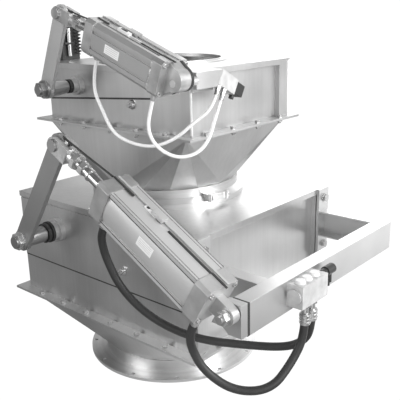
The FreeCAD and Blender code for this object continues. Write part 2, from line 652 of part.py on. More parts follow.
# ---------------------------------------------------------------- upper casing
piece("upper_hopper", hopper(size("up_half_x") + 2, size("up_half_y") + 2, size("up_flange_z"),
                             size("up_outlet_radius"), size("collar_top")))
up_spots = [(f"{s}*bolt_pitch", f"{side}*(up_half_y+12)") for s in (-2, -1, 0, 1, 2) for side in (-1, 1)]
up_spots += [(f"{side}*(up_half_x+20)", f"{s}*bolt_pitch")
             for s in (-1.5, -0.5, 0.5, 1.5) for side in (-1, 1)]
piece("upper_flange_frame", flange_frame(
    "up_flange_x", "up_flange_y", "up_half_x", "up_half_y", "up_front_x", "up_flange_z",
    "up_flange_thick", [rod("z", (x, y, "up_flange_z-1"), "bolt_radius-1", 10) for x, y in up_spots]))
piece("upper_flange_bolts", group(*[flange_bolt(x, y, "up_flange_z", "up_flange_thick", True)
                                    for x, y in up_spots],
                                  wall_knob(76, "up_half_y-gauge", 748)))
up_hole = rod("y", ("up_axis_x", "-up_half_y-5", "up_axis_z"), "up_shaft_radius+8", "2*up_half_y+10")
piece("upper_casing", casing("up_half_x", "up_front_x", "up_half_y", "up_flange_z+up_flange_thick",
                             "up_top-gauge", [up_hole]))
piece("rear_switch_box", join(
    block(("-up_half_x-33", "-up_half_x"), (-140, -80), (745, 928)),
    block(("-up_half_x-1", "-up_half_x+gauge"), (-130, -90), (750, "up_top-lip_depth-2*gauge"))))
piece("upper_top_plate", tray("up_half_x", "up_front_x", "up_half_y", "up_top", "inlet_radius-1"))
piece("inlet_ring", cut(
    join(rod("z", (0, 0, "up_top"), "inlet_radius+14", 3),
         rod("z", (0, 0, "up_top"), "inlet_radius", "inlet_height"),
         rod("z", (0, 0, "up_top-gauge"), "inlet_radius-1", "gauge")),
    rod("z", (0, 0, "up_top-30"), "inlet_radius-inlet_wall", 60)))
up_gasket = turned(group(block((0, "up_seam_length"), ("-up_half_y+0.5", "-up_half_y+gauge"), (-2, 2))),
                   ("up_seam_start", 0, "up_seam_z"), "-atan2(up_seam_rise; up_seam_length)")
piece("cover_gaskets", group(low_gasket, up_gasket))
piece("upper_bearings", group(
    bearing(-1, "up_axis_x", "up_axis_z", "up_half_y-gauge", "up_shaft_radius", 25, 18),
    bearing(1, "up_axis_x", "up_axis_z", "up_half_y", "up_shaft_radius", 25, 18)))
seal_low = [cut(rod("y", ("low_axis_x", y, "low_axis_z"), r, w),
                rod("y", ("low_axis_x", f"{y}-5", "low_axis_z"), "low_shaft_radius+0.4", 60))
            for y, r, w in (("-low_half_y-36", 29, 7.5), ("-low_half_y-48", 27, 9))]
seal_up = cut(rod("y", ("up_axis_x", "-up_half_y-36", "up_axis_z"), 18, 10),
              rod("y", ("up_axis_x", "-up_half_y-50", "up_axis_z"), "up_shaft_radius+0.4", 60))
piece("shaft_seals", group(*seal_low, seal_up))

# ---------------------------------------------------------------- upper bracket bar and valve
UP_BAR_X = ("up_front_x+22", "up_front_x+62")
UP_BAR_Z = ("up_bar_bottom", "up_bar_top")


def leaning(obj):
    """Put a piece built from the valve block's top corner in place; the valve leans towards -Y."""
    obj.Placement = FreeCAD.Placement(FreeCAD.Vector(), FreeCAD.Rotation(FreeCAD.Vector(1, 0, 0), 1))
    bind(obj, _at_y="up_valve_y", _at_z="up_bar_top")
    obj.setExpression("Placement.Rotation.Angle", bound("up_valve_lean"))
    return obj


piece("upper_bracket_bar", join(
    block(("up_front_x", "up_front_x+6"), ("-up_half_y", "-up_half_y+70"), (790, "up_top-gauge-1")),
    block(("up_front_x+5", "up_front_x+23"), ("-up_half_y+4", "-up_half_y+30"), ("up_bar_bottom+2", 834)),
    cut(block(UP_BAR_X, ("up_bar_start", "up_valve_y+4"), UP_BAR_Z),
        leaning(group(block(("up_front_x", "up_front_x+80"), (0, 60), (-90, 30))))),
    rod("y", ("up_pivot_x", "-up_drive_y-up_eye_width/2", "up_pivot_z"), "up_pivot_radius",
        "up_bar_start+1+up_drive_y+up_eye_width/2"),
    rod("y", ("up_pivot_x", "-up_drive_y+up_eye_width/2+1", "up_pivot_z"), 10,
        "up_bar_start+up_drive_y-up_eye_width/2")))
piece("upper_valve_body", leaning(group(
    block(("up_front_x+26", "up_front_x+62"), (0, "up_valve_length"), ("-up_valve_depth", 0)))))
piece("upper_valve_connector", leaning(group(join(
    block(("up_front_x+29", "up_front_x+59"), ("up_valve_length", "up_valve_length+32"), (-29, -2)),
    rod("z", ("up_front_x+44", "up_valve_length+14", -40), 6, 12)))))
FITTING_X = "up_front_x+56"
piece("upper_fittings", leaning(group(*[
    join(hexagon("z", (FITTING_X, y, f"-up_valve_depth-{reach}+10"), 11, f"{reach}-10"),
         rod("z", (FITTING_X, y, f"-up_valve_depth-{reach}"), 5.5, 11))
    for y, reach in ((9.1, 23), (29.9, 27.5))])))

# ---------------------------------------------------------------- upper drive
UP_AXIS = ("up_axis_x", 0, "up_axis_z")
UP_LEVER = "sqrt((up_pin_x-up_axis_x)^2+(up_pin_z-up_axis_z)^2)"
piece("upper_shaft", join(
    rod("y", ("up_axis_x", "-up_drive_y-29", "up_axis_z"), "up_shaft_radius", "up_drive_y+29+up_half_y+6"),
    hexagon("y", ("up_axis_x", "-up_drive_y-25", "up_axis_z"), 34, 13.5),
    rod("y", ("up_axis_x", "-up_half_y+18", "up_axis_z"), 20, "2*up_half_y-36"),
    rod("y", ("up_axis_x", "-up_drive_y-12", "up_axis_z"), 23, "12-up_lever_thick/2"),
    rod("y", ("up_axis_x", "-up_drive_y+up_lever_thick/2", "up_axis_z"), 23,
        "up_drive_y-up_lever_thick/2-up_half_y-40", 17)))
piece("upper_lever", turned(cut(
    join(block(("-up_lever_half", "up_lever_half"), ("-up_lever_thick/2", "up_lever_thick/2"), (0, UP_LEVER)),
         rod("y", (0, "-up_lever_thick/2", 0), "up_lever_half+2", "up_lever_thick"),
         rod("y", (0, "-up_lever_thick/2", UP_LEVER), "up_lever_half-2", "up_lever_thick")),
    rod("y", (0, -20, 0), "up_shaft_radius", 40), rod("y", (0, -20, UP_LEVER), "up_lever_hole", 40)),
    ("up_axis_x", "-up_drive_y", "up_axis_z"), "atan2(up_pin_x-up_axis_x; up_pin_z-up_axis_z)"))
piece("upper_flap", turned(flap("up_flap_reach", "up_flap_half", 20), UP_AXIS, "flap_slope"))

# ---------------------------------------------------------------- upper cylinder, built along -X from its eye
UP_PIVOT = ("up_pivot_x", "-up_drive_y", "up_pivot_z")
UP_TILT = "atan2(up_pin_z-up_pivot_z; up_pivot_x-up_pin_x)"
UP_REACH = "sqrt((up_pin_x-up_pivot_x)^2+(up_pin_z-up_pivot_z)^2)"
UP_EYE_Y = "-up_eye_width/2"
up_bracket = join(
    rod("y", (-3, UP_EYE_Y, 6), "up_eye_radius", "up_eye_width"),
    sketched_plate([(-23, -38), (-3, -19), (-3, 31), (-23, 38)], UP_EYE_Y, "up_eye_width"))
piece("upper_cyl_rear_cap", turned(cut(
    join(cap("up_cap_start", "up_cap_length", "up_cap_half", 8), up_bracket,
         rod("z", ("-up_cap_start-up_port_back", "-up_port_side", "-up_cap_half-16"), 6, 18)),
    rod("y", (0, -30, 0), "up_pivot_radius+fit_gap", 60)), UP_PIVOT, UP_TILT))
piece("upper_cyl_front_cap", turned(cut(
    join(cap("up_barrel_end", "up_cap_length", "up_cap_half", 8),
         rod("x", ("-up_barrel_end-up_cap_length-9", 0, 0), 19, 10),
         rod("z", ("-up_barrel_end-up_cap_length/2", 0, "-up_cap_half-16"), 6, 18)),
    rod("x", ("-up_barrel_end-up_cap_length-20", 0, 0), "up_rod_radius+fit_gap", 60)), UP_PIVOT, UP_TILT))
up_barrel_span = "up_barrel_end-up_cap_start-up_cap_length"
grooves = []
for y0, y1 in (("-up_cap_half-1", "-up_cap_half+4"), ("up_cap_half-4", "up_cap_half+1")):
    grooves += [block(("-up_barrel_end-1", 0), (y0, y1), (z - 3, z + 3)) for z in (-18, 18)]
for z0, z1 in (("-up_cap_half-1", "-up_cap_half+4"), ("up_cap_half-4", "up_cap_half+1")):
    grooves += [block(("-up_barrel_end-1", 0), (y - 3, y + 3), (z0, z1)) for y in (-18, 18)]
barrel = cap("up_cap_start+up_cap_length", up_barrel_span, "up_cap_half-1", 9)
piece("upper_cyl_barrel", turned(cut(barrel, rod("x", ("-up_barrel_end-1", 0, 0), "up_bore", "up_barrel_end"),
                                     *grooves), UP_PIVOT, UP_TILT))
piece("upper_cyl_rail", turned(join(
    block(("-up_barrel_end-up_cap_length", "-up_cap_start"), (8, 13), ("up_cap_half", "up_cap_half+2.5")),
    block(("-up_barrel_end+58", "-up_barrel_end+92"), (2, 20), ("up_cap_half-1", "up_cap_half+6"))),
    UP_PIVOT, UP_TILT))
piece("upper_piston_rod", turned(join(
    rod("x", (f"-{UP_REACH}+34", 0, 0), "up_rod_radius", f"{UP_REACH}-34-up_barrel_end+up_stroke+5"),
    rod("x", ("-up_barrel_end+up_stroke+4", 0, 0), "up_bore-fit_gap", 22)), UP_PIVOT, UP_TILT))
piece("upper_fork", turned(fork(UP_REACH, "up_fork_half", "up_fork_gap", "up_fork_pin",
                                "up_rod_radius", 46, True),
                           UP_PIVOT, UP_TILT))

# ---------------------------------------------------------------- hoses and tubes
HOSE_A = [(172.32, -390, 502.92), (162.5, -390, 485.5), (156, -386, 462), (155, -375, 418), (179, -357, 341),
          (248, -327, 273), (352, -290, 240), (442, -216, 224), (516, -174, 226), (554, -157, 245),
          (573, -150, 280), (573, -150, 330)]
HOSE_B = [(439.57, -390, 347.76), (427.3, -390, 326), (419, -381, 284), (440, -363, 225), (494, -327, 179),
          (551, -273, 179), (563, -214, 221), (573, -178, 275), (573, -178, 330)]
TUBE_A = [(73.73, -296, 863.5), (50.6, -296, 803.2), (83, -296, 747), (109, -291, 695), (163, -280, 674),
          (218, -261, 670), (266, -237, 694), (299, -214, 730), (330, -194.13, 756.25),
          (330, -177.23, 786.73)]
TUBE_B = [(271.68, -316, 787.61), (262.7, -316, 764.2), (253, -316, 732), (257, -311, 700), (278, -299, 674),
          (308, -279, 660), (336, -251, 668), (344, -219, 694), (330, -178.12, 742.23),
          (330, -161.22, 772.71)]
piece("lower_hose_a", route(HOSE_A, size("hose_diameter")))
piece("lower_hose_b", route(HOSE_B, size("hose_diameter")))
piece("upper_tube_a", route(TUBE_A, size("tube_diameter")))
piece("upper_tube_b", route(TUBE_B, size("tube_diameter")))

# ---------------------------------------------------------------- check and export
doc.recompute()
for obj in doc.Objects:
    if {"Invalid", "Error"} & set(obj.State):
        raise RuntimeError(f"{obj.Name} ({obj.Label}) failed: {obj.State}")
os.makedirs("parts", exist_ok=True)
for label, obj in PIECES.items():
    if obj.Shape.isNull() or not obj.Shape.isValid() or obj.Shape.Volume <= 0:
        raise RuntimeError(f"{label} has no valid shape")
    obj.Shape.exportStep(f"parts/{label}.step")
print(len(PIECES), "pieces")
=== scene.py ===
import json
import math
import bmesh
import bpy
from mathutils import Matrix, Vector


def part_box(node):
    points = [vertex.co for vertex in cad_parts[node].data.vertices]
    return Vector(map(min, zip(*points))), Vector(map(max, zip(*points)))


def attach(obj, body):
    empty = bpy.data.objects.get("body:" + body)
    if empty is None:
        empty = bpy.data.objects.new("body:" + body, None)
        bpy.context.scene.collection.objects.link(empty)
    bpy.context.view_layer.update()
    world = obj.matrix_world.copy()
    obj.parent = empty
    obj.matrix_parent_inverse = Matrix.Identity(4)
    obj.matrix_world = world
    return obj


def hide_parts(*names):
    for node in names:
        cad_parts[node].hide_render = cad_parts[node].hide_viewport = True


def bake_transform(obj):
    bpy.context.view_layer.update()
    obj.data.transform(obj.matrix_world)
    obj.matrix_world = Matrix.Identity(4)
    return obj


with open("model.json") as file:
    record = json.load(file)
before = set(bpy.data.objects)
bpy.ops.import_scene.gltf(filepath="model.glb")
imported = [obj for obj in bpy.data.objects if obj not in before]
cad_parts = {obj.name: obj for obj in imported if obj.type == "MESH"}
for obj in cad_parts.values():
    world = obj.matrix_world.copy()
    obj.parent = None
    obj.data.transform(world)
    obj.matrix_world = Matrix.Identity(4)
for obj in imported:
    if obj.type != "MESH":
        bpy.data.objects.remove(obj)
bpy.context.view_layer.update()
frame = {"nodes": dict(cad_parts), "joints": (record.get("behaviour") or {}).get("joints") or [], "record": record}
WHITE = (1.0, 1.0, 1.0, 1.0)
TO_METRES = Matrix.Diagonal((0.001, 0.001, 0.001, 1.0))

# ---------------------------------------------------------------- materials
NOISE_BAND = (0.3, 0.7)      # the part of the noise's range that is spread over the wanted range
EVEN = (1.0, 1.0, 1.0)       # noise that is the same size in all directions
ROUGHNESS_SPREAD = 0.08


def combine(tree, operation, first, second):
    """Math node over two values, each a number or a socket."""
    node = tree.nodes.new("ShaderNodeMath")
    node.operation = operation
    for socket, value in zip(node.inputs, (first, second)):
        if isinstance(value, (int, float)):
            socket.default_value = value
        else:
            tree.links.new(value, socket)
    return node.outputs["Value"]


def shader(name, base, metallic, rough, bump=0.0, streak=None, streak_amount=0.0, mottling=0.0,
           mottling_scale=6.0, edge=0.0, coat=0.0):
    """Procedural material: a base grey, with optional brushed streaks, soft mottling and eased edges.
    streak is the noise's scale along X, Y and Z, or "ring" for streaks that run round the Z axis."""
    mat = bpy.data.materials.new(name)
    mat.use_nodes = True
    nodes, links = mat.node_tree.nodes, mat.node_tree.links
    surface = nodes["Principled BSDF"]
    surface.inputs["Metallic"].default_value = metallic
    surface.inputs["Roughness"].default_value = rough
    surface.inputs["Base Color"].default_value = (base, base, base, 1.0)
    surface.inputs["Coat Weight"].default_value = coat
    coords = nodes.new("ShaderNodeTexCoord")

    def around_z():
        """Coordinates that change with the distance from the Z axis and with height, for turned surfaces."""
        split = nodes.new("ShaderNodeSeparateXYZ")
        flat = nodes.new("ShaderNodeCombineXYZ")
        reach = nodes.new("ShaderNodeVectorMath")
        joined = nodes.new("ShaderNodeCombineXYZ")
        reach.operation = "LENGTH"
        links.new(coords.outputs["Object"], split.inputs["Vector"])
        links.new(split.outputs["X"], flat.inputs["X"])
        links.new(split.outputs["Y"], flat.inputs["Y"])
        links.new(flat.outputs["Vector"], reach.inputs[0])
        links.new(reach.outputs["Value"], joined.inputs["X"])
        links.new(split.outputs["Z"], joined.inputs["Y"])
        return joined.outputs["Vector"]

    def noise(scale, stretch, detail):
        texture = nodes.new("ShaderNodeTexNoise")
        texture.inputs["Scale"].default_value = scale
        texture.inputs["Detail"].default_value = detail
        if stretch == "ring":
            links.new(around_z(), texture.inputs["Vector"])
            return texture.outputs["Fac"]
        mapping = nodes.new("ShaderNodeMapping")
        mapping.inputs["Scale"].default_value = stretch
        links.new(coords.outputs["Object"], mapping.inputs["Vector"])
        links.new(mapping.outputs["Vector"], texture.inputs["Vector"])
        return texture.outputs["Fac"]

    def spread(fac, low, high):
        band = nodes.new("ShaderNodeMapRange")
        band.inputs["From Min"].default_value, band.inputs["From Max"].default_value = NOISE_BAND
        band.inputs["To Min"].default_value = low
        band.inputs["To Max"].default_value = high
        links.new(fac, band.inputs["Value"])
        return band.outputs["Result"]

    factor = fine = normal = None
    if streak:
        fine = noise(90.0, streak, 3.0)
        factor = spread(fine, 1.0 - streak_amount, 1.0 + streak_amount)
    if mottling:
        cloud = spread(noise(mottling_scale, EVEN, 4.0), 1.0 - mottling, 1.0 + mottling)
        factor = combine(mat.node_tree, "MULTIPLY", factor, cloud) if factor is not None else cloud
        uneven = noise(mottling_scale * 0.7, EVEN, 2.0)
        links.new(spread(uneven, rough - ROUGHNESS_SPREAD, rough + ROUGHNESS_SPREAD),
                  surface.inputs["Roughness"])
    if factor is not None:
        value = combine(mat.node_tree, "MULTIPLY", factor, float(base))
        colour = nodes.new("ShaderNodeCombineColor")
        for channel in ("Red", "Green", "Blue"):
            links.new(value, colour.inputs[channel])
        links.new(colour.outputs["Color"], surface.inputs["Base Color"])
    if edge:
        bevel = nodes.new("ShaderNodeBevel")
        bevel.samples = 4
        bevel.inputs["Radius"].default_value = edge
        normal = bevel.outputs["Normal"]
    if bump:
        relief = nodes.new("ShaderNodeBump")
        relief.inputs["Strength"].default_value = bump
        relief.inputs["Distance"].default_value = 0.001
        links.new(fine if fine is not None else noise(60.0, EVEN, 2.0), relief.inputs["Height"])
        if normal is not None:
            links.new(normal, relief.inputs["Normal"])
        normal = relief.outputs["Normal"]
    if normal is not None:
        links.new(normal, surface.inputs["Normal"])
    return mat


MATERIALS = {
    "sheet_steel": shader("sheet_steel", 0.62, 0.95, 0.36, bump=0.03, streak=(1.0, 1.0, 0.04),
                          streak_amount=0.03, mottling=0.07, edge=0.0012),
    "frame_steel": shader("frame_steel", 0.68, 0.9, 0.36, bump=0.03, mottling=0.07, edge=0.0015),
    "lever_steel": shader("lever_steel", 0.56, 0.8, 0.42, mottling=0.08, edge=0.001),
    "cast_alloy": shader("cast_alloy", 0.52, 0.55, 0.40, bump=0.10, mottling=0.12, mottling_scale=30.0,
                         edge=0.0015),
    "barrel_alloy": shader("barrel_alloy", 0.56, 0.35, 0.42, mottling=0.05, edge=0.001),
    "bright_steel": shader("bright_steel", 0.42, 1.0, 0.30, edge=0.001),
    "zinc": shader("zinc", 0.56, 0.85, 0.30, mottling=0.15, mottling_scale=40.0, edge=0.0008),
    "black_rubber": shader("black_rubber", 0.030, 0.0, 0.50, bump=0.05, mottling=0.15,
                           mottling_scale=20.0),
    "black_plastic": shader("black_plastic", 0.025, 0.0, 0.42, mottling=0.15, mottling_scale=15.0,
                            edge=0.0008),
    "white_plastic": shader("white_plastic", 0.85, 0.0, 0.35, mottling=0.03, edge=0.0008),
    "white_tube": shader("white_tube", 0.92, 0.0, 0.30, mottling=0.02, coat=0.3),
}
# finishes of single nodes and of pieces that have no slot of their own; some are darker copies of a slot's metal
# that paint shade on one node
SPUN = shader("spun_steel", 0.64, 0.95, 0.34, bump=0.04, streak="ring", streak_amount=0.08,
              mottling=0.06, edge=0.0012)
# lower lever: the same steel as lever_steel made darker, painted shade
LOWER_LEVER_PAINTED_SHADE = shader("lower_lever_steel_painted_shade", 0.34, 0.8, 0.40, mottling=0.08, edge=0.001)
# upper barrel and rail: the same alloy as barrel_alloy made darker, painted shade
UPPER_BARREL_PAINTED_SHADE = shader("upper_barrel_alloy_painted_shade", 0.42, 0.45, 0.36, mottling=0.05, edge=0.001)
UPPER_CAST = shader("upper_cast_alloy", 0.48, 0.65, 0.34, bump=0.12, mottling=0.22, mottling_scale=25.0,
                    edge=0.0015)
# lower front cap: the same cast alloy as its rear cap made darker, painted shade
LOWER_FRONT_CAP_PAINTED_SHADE = shader("lower_front_alloy_painted_shade", 0.40, 0.55, 0.40, bump=0.10, mottling=0.15, mottling_scale=30.0,
                    edge=0.0015)
VALVE_ALLOY = shader("valve_alloy", 0.60, 0.35, 0.45, bump=0.08, mottling=0.14, mottling_scale=45.0,
                     edge=0.001)
# near-white rods for the upper casing's corners: painted highlight of the bent sheet edges
CORNER_PAINTED_HIGHLIGHT = shader("corner_painted_highlight", 0.92, 0.4, 0.30)
PAPER = shader("label_paper", 0.88, 0.0, 0.55, mottling=0.02)
INK = shader("label_ink", 0.60, 0.0, 0.55, mottling=0.05)
FINISHES_AND_PAINTED_SHADE = {"lower_outlet_ring": SPUN, "clamp_ring": SPUN, "inlet_ring": SPUN, "lower_lever": LOWER_LEVER_PAINTED_SHADE,
            "upper_cyl_barrel": UPPER_BARREL_PAINTED_SHADE, "upper_cyl_rail": UPPER_BARREL_PAINTED_SHADE, "upper_cyl_rear_cap": UPPER_CAST,
            "upper_cyl_front_cap": UPPER_CAST, "lower_cyl_front_cap": LOWER_FRONT_CAP_PAINTED_SHADE,
            "lower_valve_body": VALVE_ALLOY, "upper_valve_body": VALVE_ALLOY}

RECORD_SLOTS = {entry["node"]: entry["material_slot"] for entry in frame["record"]["subparts"]}
for name, obj in frame["nodes"].items():
    obj.data.materials.clear()
    obj.data.materials.append(FINISHES_AND_PAINTED_SHADE.get(name, MATERIALS[RECORD_SLOTS[name]]))

# ---------------------------------------------------------------- helpers


def mesh_object(bm, name, slot, body=None, mat=None, smooth=True):
    """Object of a mesh in the row frame, with its material, taken from its slot unless one is given, riding its
    body if it has one.
    """
    mesh = bpy.data.meshes.new(name)
    bm.normal_update()
    bm.to_mesh(mesh)
    bm.free()
    obj = bpy.data.objects.new(name, mesh)
    bpy.context.scene.collection.objects.link(obj)
    if smooth:
        for poly in mesh.polygons:
            poly.use_smooth = True
        mesh.set_sharp_from_angle(angle=math.radians(35))
    mesh.materials.append(mat or MATERIALS[slot])
    if body:
        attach(obj, body)
    return obj


def detail(bm, name, slot, body, place, mat=None, smooth=True):
    """Piece modelled in millimetres, baked into the row frame at its place."""
    bmesh.ops.transform(bm, matrix=place, verts=bm.verts)
    bmesh.ops.recalc_face_normals(bm, faces=bm.faces)
    return mesh_object(bm, name, slot, body, mat, smooth)


def strip(bm, xs, ys, zs, bevel=0.4):
    """Box between pairs of bounds, in either order, with eased edges."""
    pairs = (xs, ys, zs)
    size = [max(pair) - min(pair) for pair in pairs]
    centre = [sum(pair) / 2 for pair in pairs]
    place = Matrix.Translation(centre) @ Matrix.Diagonal((*size, 1.0))
    made = bmesh.ops.create_cube(bm, size=1.0, matrix=place)
    edges = {e for v in made["verts"] for e in v.link_edges}
    bmesh.ops.bevel(bm, geom=list(edges), offset=bevel, segments=2, profile=0.6, affect="EDGES")


def facing(axis):
    """Rotation that turns Z to an axis."""
    return Vector(axis).to_track_quat("Z", "Y").to_matrix().to_4x4()


def circle(radius, sides):
    angles = (2 * math.pi * n / sides for n in range(sides))
    return [(radius * math.cos(a), radius * math.sin(a)) for a in angles]


def join_rings(bm, rings):
    """Closed skin over equal rings of vertices, with a flat face at each end."""
    for a, b in zip(rings, rings[1:]):
        for n in range(len(a)):
            m = (n + 1) % len(a)
            bm.faces.new((a[n], a[m], b[m], b[n]))
    bm.faces.new(list(reversed(rings[0])))
    bm.faces.new(rings[-1])


def add_rod(bm, centre, axis, radius, length, sides=32):
    """Cylinder, or prism with few sides, with its middle at centre."""
    bmesh.ops.create_cone(bm, cap_ends=True, cap_tris=False, segments=sides, radius1=radius, radius2=radius,
                          depth=length, matrix=Matrix.Translation(centre) @ facing(axis))


def sweep(points, radius, sides=20):
    """Tube mesh along points, its rings carried along without twist."""
    bm = bmesh.new()
    rings = []
    up = Vector((0.3, 0.2, 0.93))
    for k, p in enumerate(points):
        ahead = points[min(k + 1, len(points) - 1)] - points[max(k - 1, 0)]
        ahead.normalize()
        side = ahead.cross(up).normalized()
        up = side.cross(ahead).normalized()
        rings.append([bm.verts.new(p + u * side + v * up) for u, v in circle(radius, sides)])
    join_rings(bm, rings)
    return bm


def smooth_line(control):
    """Points of the route's NURBS spline, in metres; control points are in millimetres."""
    curve = bpy.data.curves.new("route", "CURVE")
    curve.dimensions = "3D"
    curve.resolution_u = 12
    spline = curve.splines.new("NURBS")
    spline.points.add(len(control) - 1)
    for point, place in zip(spline.points, control):
        point.co = (*(v / 1000 for v in place), 1.0)
    spline.order_u = 3
    spline.use_endpoint_u = True
    holder = bpy.data.objects.new("route", curve)
    mesh = bpy.data.meshes.new_from_object(holder)
    line = [v.co.copy() for v in mesh.vertices]
    bpy.data.objects.remove(holder)
    bpy.data.curves.remove(curve)
    bpy.data.meshes.remove(mesh)
    return line


# ---------------------------------------------------------------- hoses and tubes
# control points as in the CAD routes and outer diameter, in millimetres, slot and barrel
CORDS = {
    "lower_hose_a": ([(172.32, -390, 502.92), (162.5, -390, 485.5), (156, -386, 462), (155, -375, 418),
                      (179, -357, 341), (248, -327, 273), (352, -290, 240), (442, -216, 224),
                      (516, -174, 226), (554, -157, 245), (573, -150, 280), (573, -150, 330)],
                     19, "black_rubber", "lower_barrel"),
    "lower_hose_b": ([(439.57, -390, 347.76), (427.3, -390, 326), (419, -381, 284), (440, -363, 225),
                      (494, -327, 179), (551, -273, 179), (563, -214, 221), (573, -178, 275),
                      (573, -178, 330)],
                     19, "black_rubber", "lower_barrel"),
    "upper_tube_a": ([(73.73, -296, 863.5), (50.6, -296, 803.2), (83, -296, 747), (109, -291, 695),
                      (163, -280, 674), (218, -261, 670), (266, -237, 694), (299, -214, 730),
                      (330, -194.13, 756.25), (330, -177.23, 786.73)],
                     8, "white_tube", "upper_barrel"),
    "upper_tube_b": ([(271.68, -316, 787.61), (262.7, -316, 764.2), (253, -316, 732), (257, -311, 700),
                      (278, -299, 674), (308, -279, 660), (336, -251, 668), (344, -219, 694),
                      (330, -178.12, 742.23), (330, -161.22, 772.71)],
                     8, "white_tube", "upper_barrel"),
}
for name, (control, diameter, slot, barrel) in CORDS.items():
    line = smooth_line(control)
    hose = mesh_object(sweep(line, diameter / 2000), name + "_run", slot)
    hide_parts(name)
    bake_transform(hose)

# ---------------------------------------------------------------- cylinder details
JOINTS = {joint["name"]: joint for joint in frame["joints"]}


def cylinder_place(stage):
    """Frame of one cylinder: origin at its eye, -X towards the rod, Z out of its top face; in millimetres."""
    pivot = Vector(JOINTS[stage + "_cylinder_tilt"]["pos_m"])
    back = -Vector(JOINTS[stage + "_rod_stroke"]["axis"]).normalized()
    side = Vector((0, 1, 0))
    rows = Matrix((back, side, back.cross(side))).transposed().to_4x4()
    return Matrix.Translation(pivot) @ rows @ TO_METRES


def screw_head(bm, centre, axis, radius, height):
    """Cap screw's head with a chamfered rim and a round recess; each ring is a share of radius and height."""
    place = Matrix.Translation(centre) @ facing(axis)
    shares = ((1.0, 0.0), (1.0, 0.8), (0.86, 1.0), (0.55, 1.0), (0.50, 0.35))
    join_rings(bm, [[bm.verts.new(place @ Vector((u, v, up * height))) for u, v in circle(out * radius, 24)]
                    for out, up in shares])


def screw_heads(bm, x, axis, offset, radius, height, sides=(-1, 1)):
    """Heads at the corners of a square cap; sides picks the rows on -Y and +Y."""
    for side in sides:
        for level in (-1, 1):
            screw_head(bm, (x, side * offset, level * offset), axis, radius, height)


LABEL_PROUD, RULE_PROUD, SUNK = 0.3, 0.5, 0.2     # how far a patch stands off the barrel and reaches into it
LABEL_MARGIN, LINE_PITCH = 4, 4.2


def patch(bm, xs, zs, skin, proud, steps=6):
    """Thin closed sheet that follows the barrel's side between two distances and two heights."""
    rows = [zs[0] + (zs[1] - zs[0]) * n / steps for n in range(steps + 1)]
    front = [[bm.verts.new((-x, skin(z) - proud, z)) for z in rows] for x in xs]
    back = [[bm.verts.new((-x, skin(z) + SUNK, z)) for z in rows] for x in xs]
    for n in range(steps):
        bm.faces.new((front[0][n], front[1][n], front[1][n + 1], front[0][n + 1]))
        bm.faces.new((back[0][n], back[0][n + 1], back[1][n + 1], back[1][n]))
    for k in (0, 1):
        bm.faces.new([*front[k], *reversed(back[k])])
    for n in (0, -1):
        bm.faces.new((front[0][n], front[1][n], back[1][n], back[0][n]))


def label(stage, body, xs, zs, skin, lines):
    """Paper label on the barrel's -Y side; its lines are plain grey rules, with no lettering.
    xs runs from the eye to the rod, and skin gives the side's Y at a height."""
    place = cylinder_place(stage)
    paper, rules = bmesh.new(), bmesh.new()
    patch(paper, xs, zs, skin, LABEL_PROUD)
    inset = (xs[0] + LABEL_MARGIN, xs[1] - LABEL_MARGIN)
    for k in range(lines):
        top = zs[1] - 3 - LINE_PITCH * k
        patch(rules, inset, (top - 1, top), skin, RULE_PROUD)
    detail(paper, stage + "_label", "white_plastic", body, place, PAPER)
    detail(rules, stage + "_label_rules", "white_plastic", body, place, INK)


def lower_side(z):
    """Y of the lower barrel's bowed side: an arc of the barrel's own curve."""
    return 46 - math.sqrt(90 ** 2 - z ** 2)


def upper_side(_):
    """Y of the upper barrel's flat side."""
    return -39.0


def lower_cylinder_details():
    """Label, sensor with its cable, black strips that paint the shade in the grooves along the barrel, and screw
    rims.
    """
    place, body = cylinder_place("lower"), "lower_barrel"
    label("lower", body, (191, 237), (-3, 19), lower_side, 4)
    black, pale, groove_shade = bmesh.new(), bmesh.new(), bmesh.new()
    strip(black, (-204, -70), (-2, 3), (43.5, 46.2))
    strip(black, (-74, -30), (-2, 3), (46, 48.4))
    strip(black, (-386, -318), (-2, 3), (46, 48.4))
    strip(black, (-279, -272), (3, 10), (46, 48.6))
    strip(black, (-262, -248), (3, 10), (46, 48.6))
    strip(pale, (-284, -246), (1, 13), (43.5, 47))
    # black strips along the barrel's grooves: painted shade of the recesses
    barrel_span = (-344.5, -74.5)
    for y in (-41, -33.5, 33.5, 41):
        strip(groove_shade, barrel_span, (y - 0.5, y + 0.5), (43.5, 44.4), 0.2)
    for z in (-35, 35):
        for ys in ((-42.6, -41.5), (41.5, 42.6)):
            strip(groove_shade, barrel_span, ys, (z - 0.8, z + 0.8), 0.2)
    detail(black, "lower_sensor_cable", "black_rubber", body, place)
    detail(pale, "lower_position_sensor", "white_plastic", body, place)
    detail(groove_shade, "lower_barrel_groove_shade", "black_rubber", body, place)
    screws = bmesh.new()
    screw_heads(screws, -387, (-1, 0, 0), 36, 6.2, 2.2)
    screw_heads(screws, -32, (1, 0, 0), 36, 6.2, 2.2, sides=(-1,))    # the pivot plate is close on +Y
    detail(screws, "lower_screw_rims", "zinc", body, place)


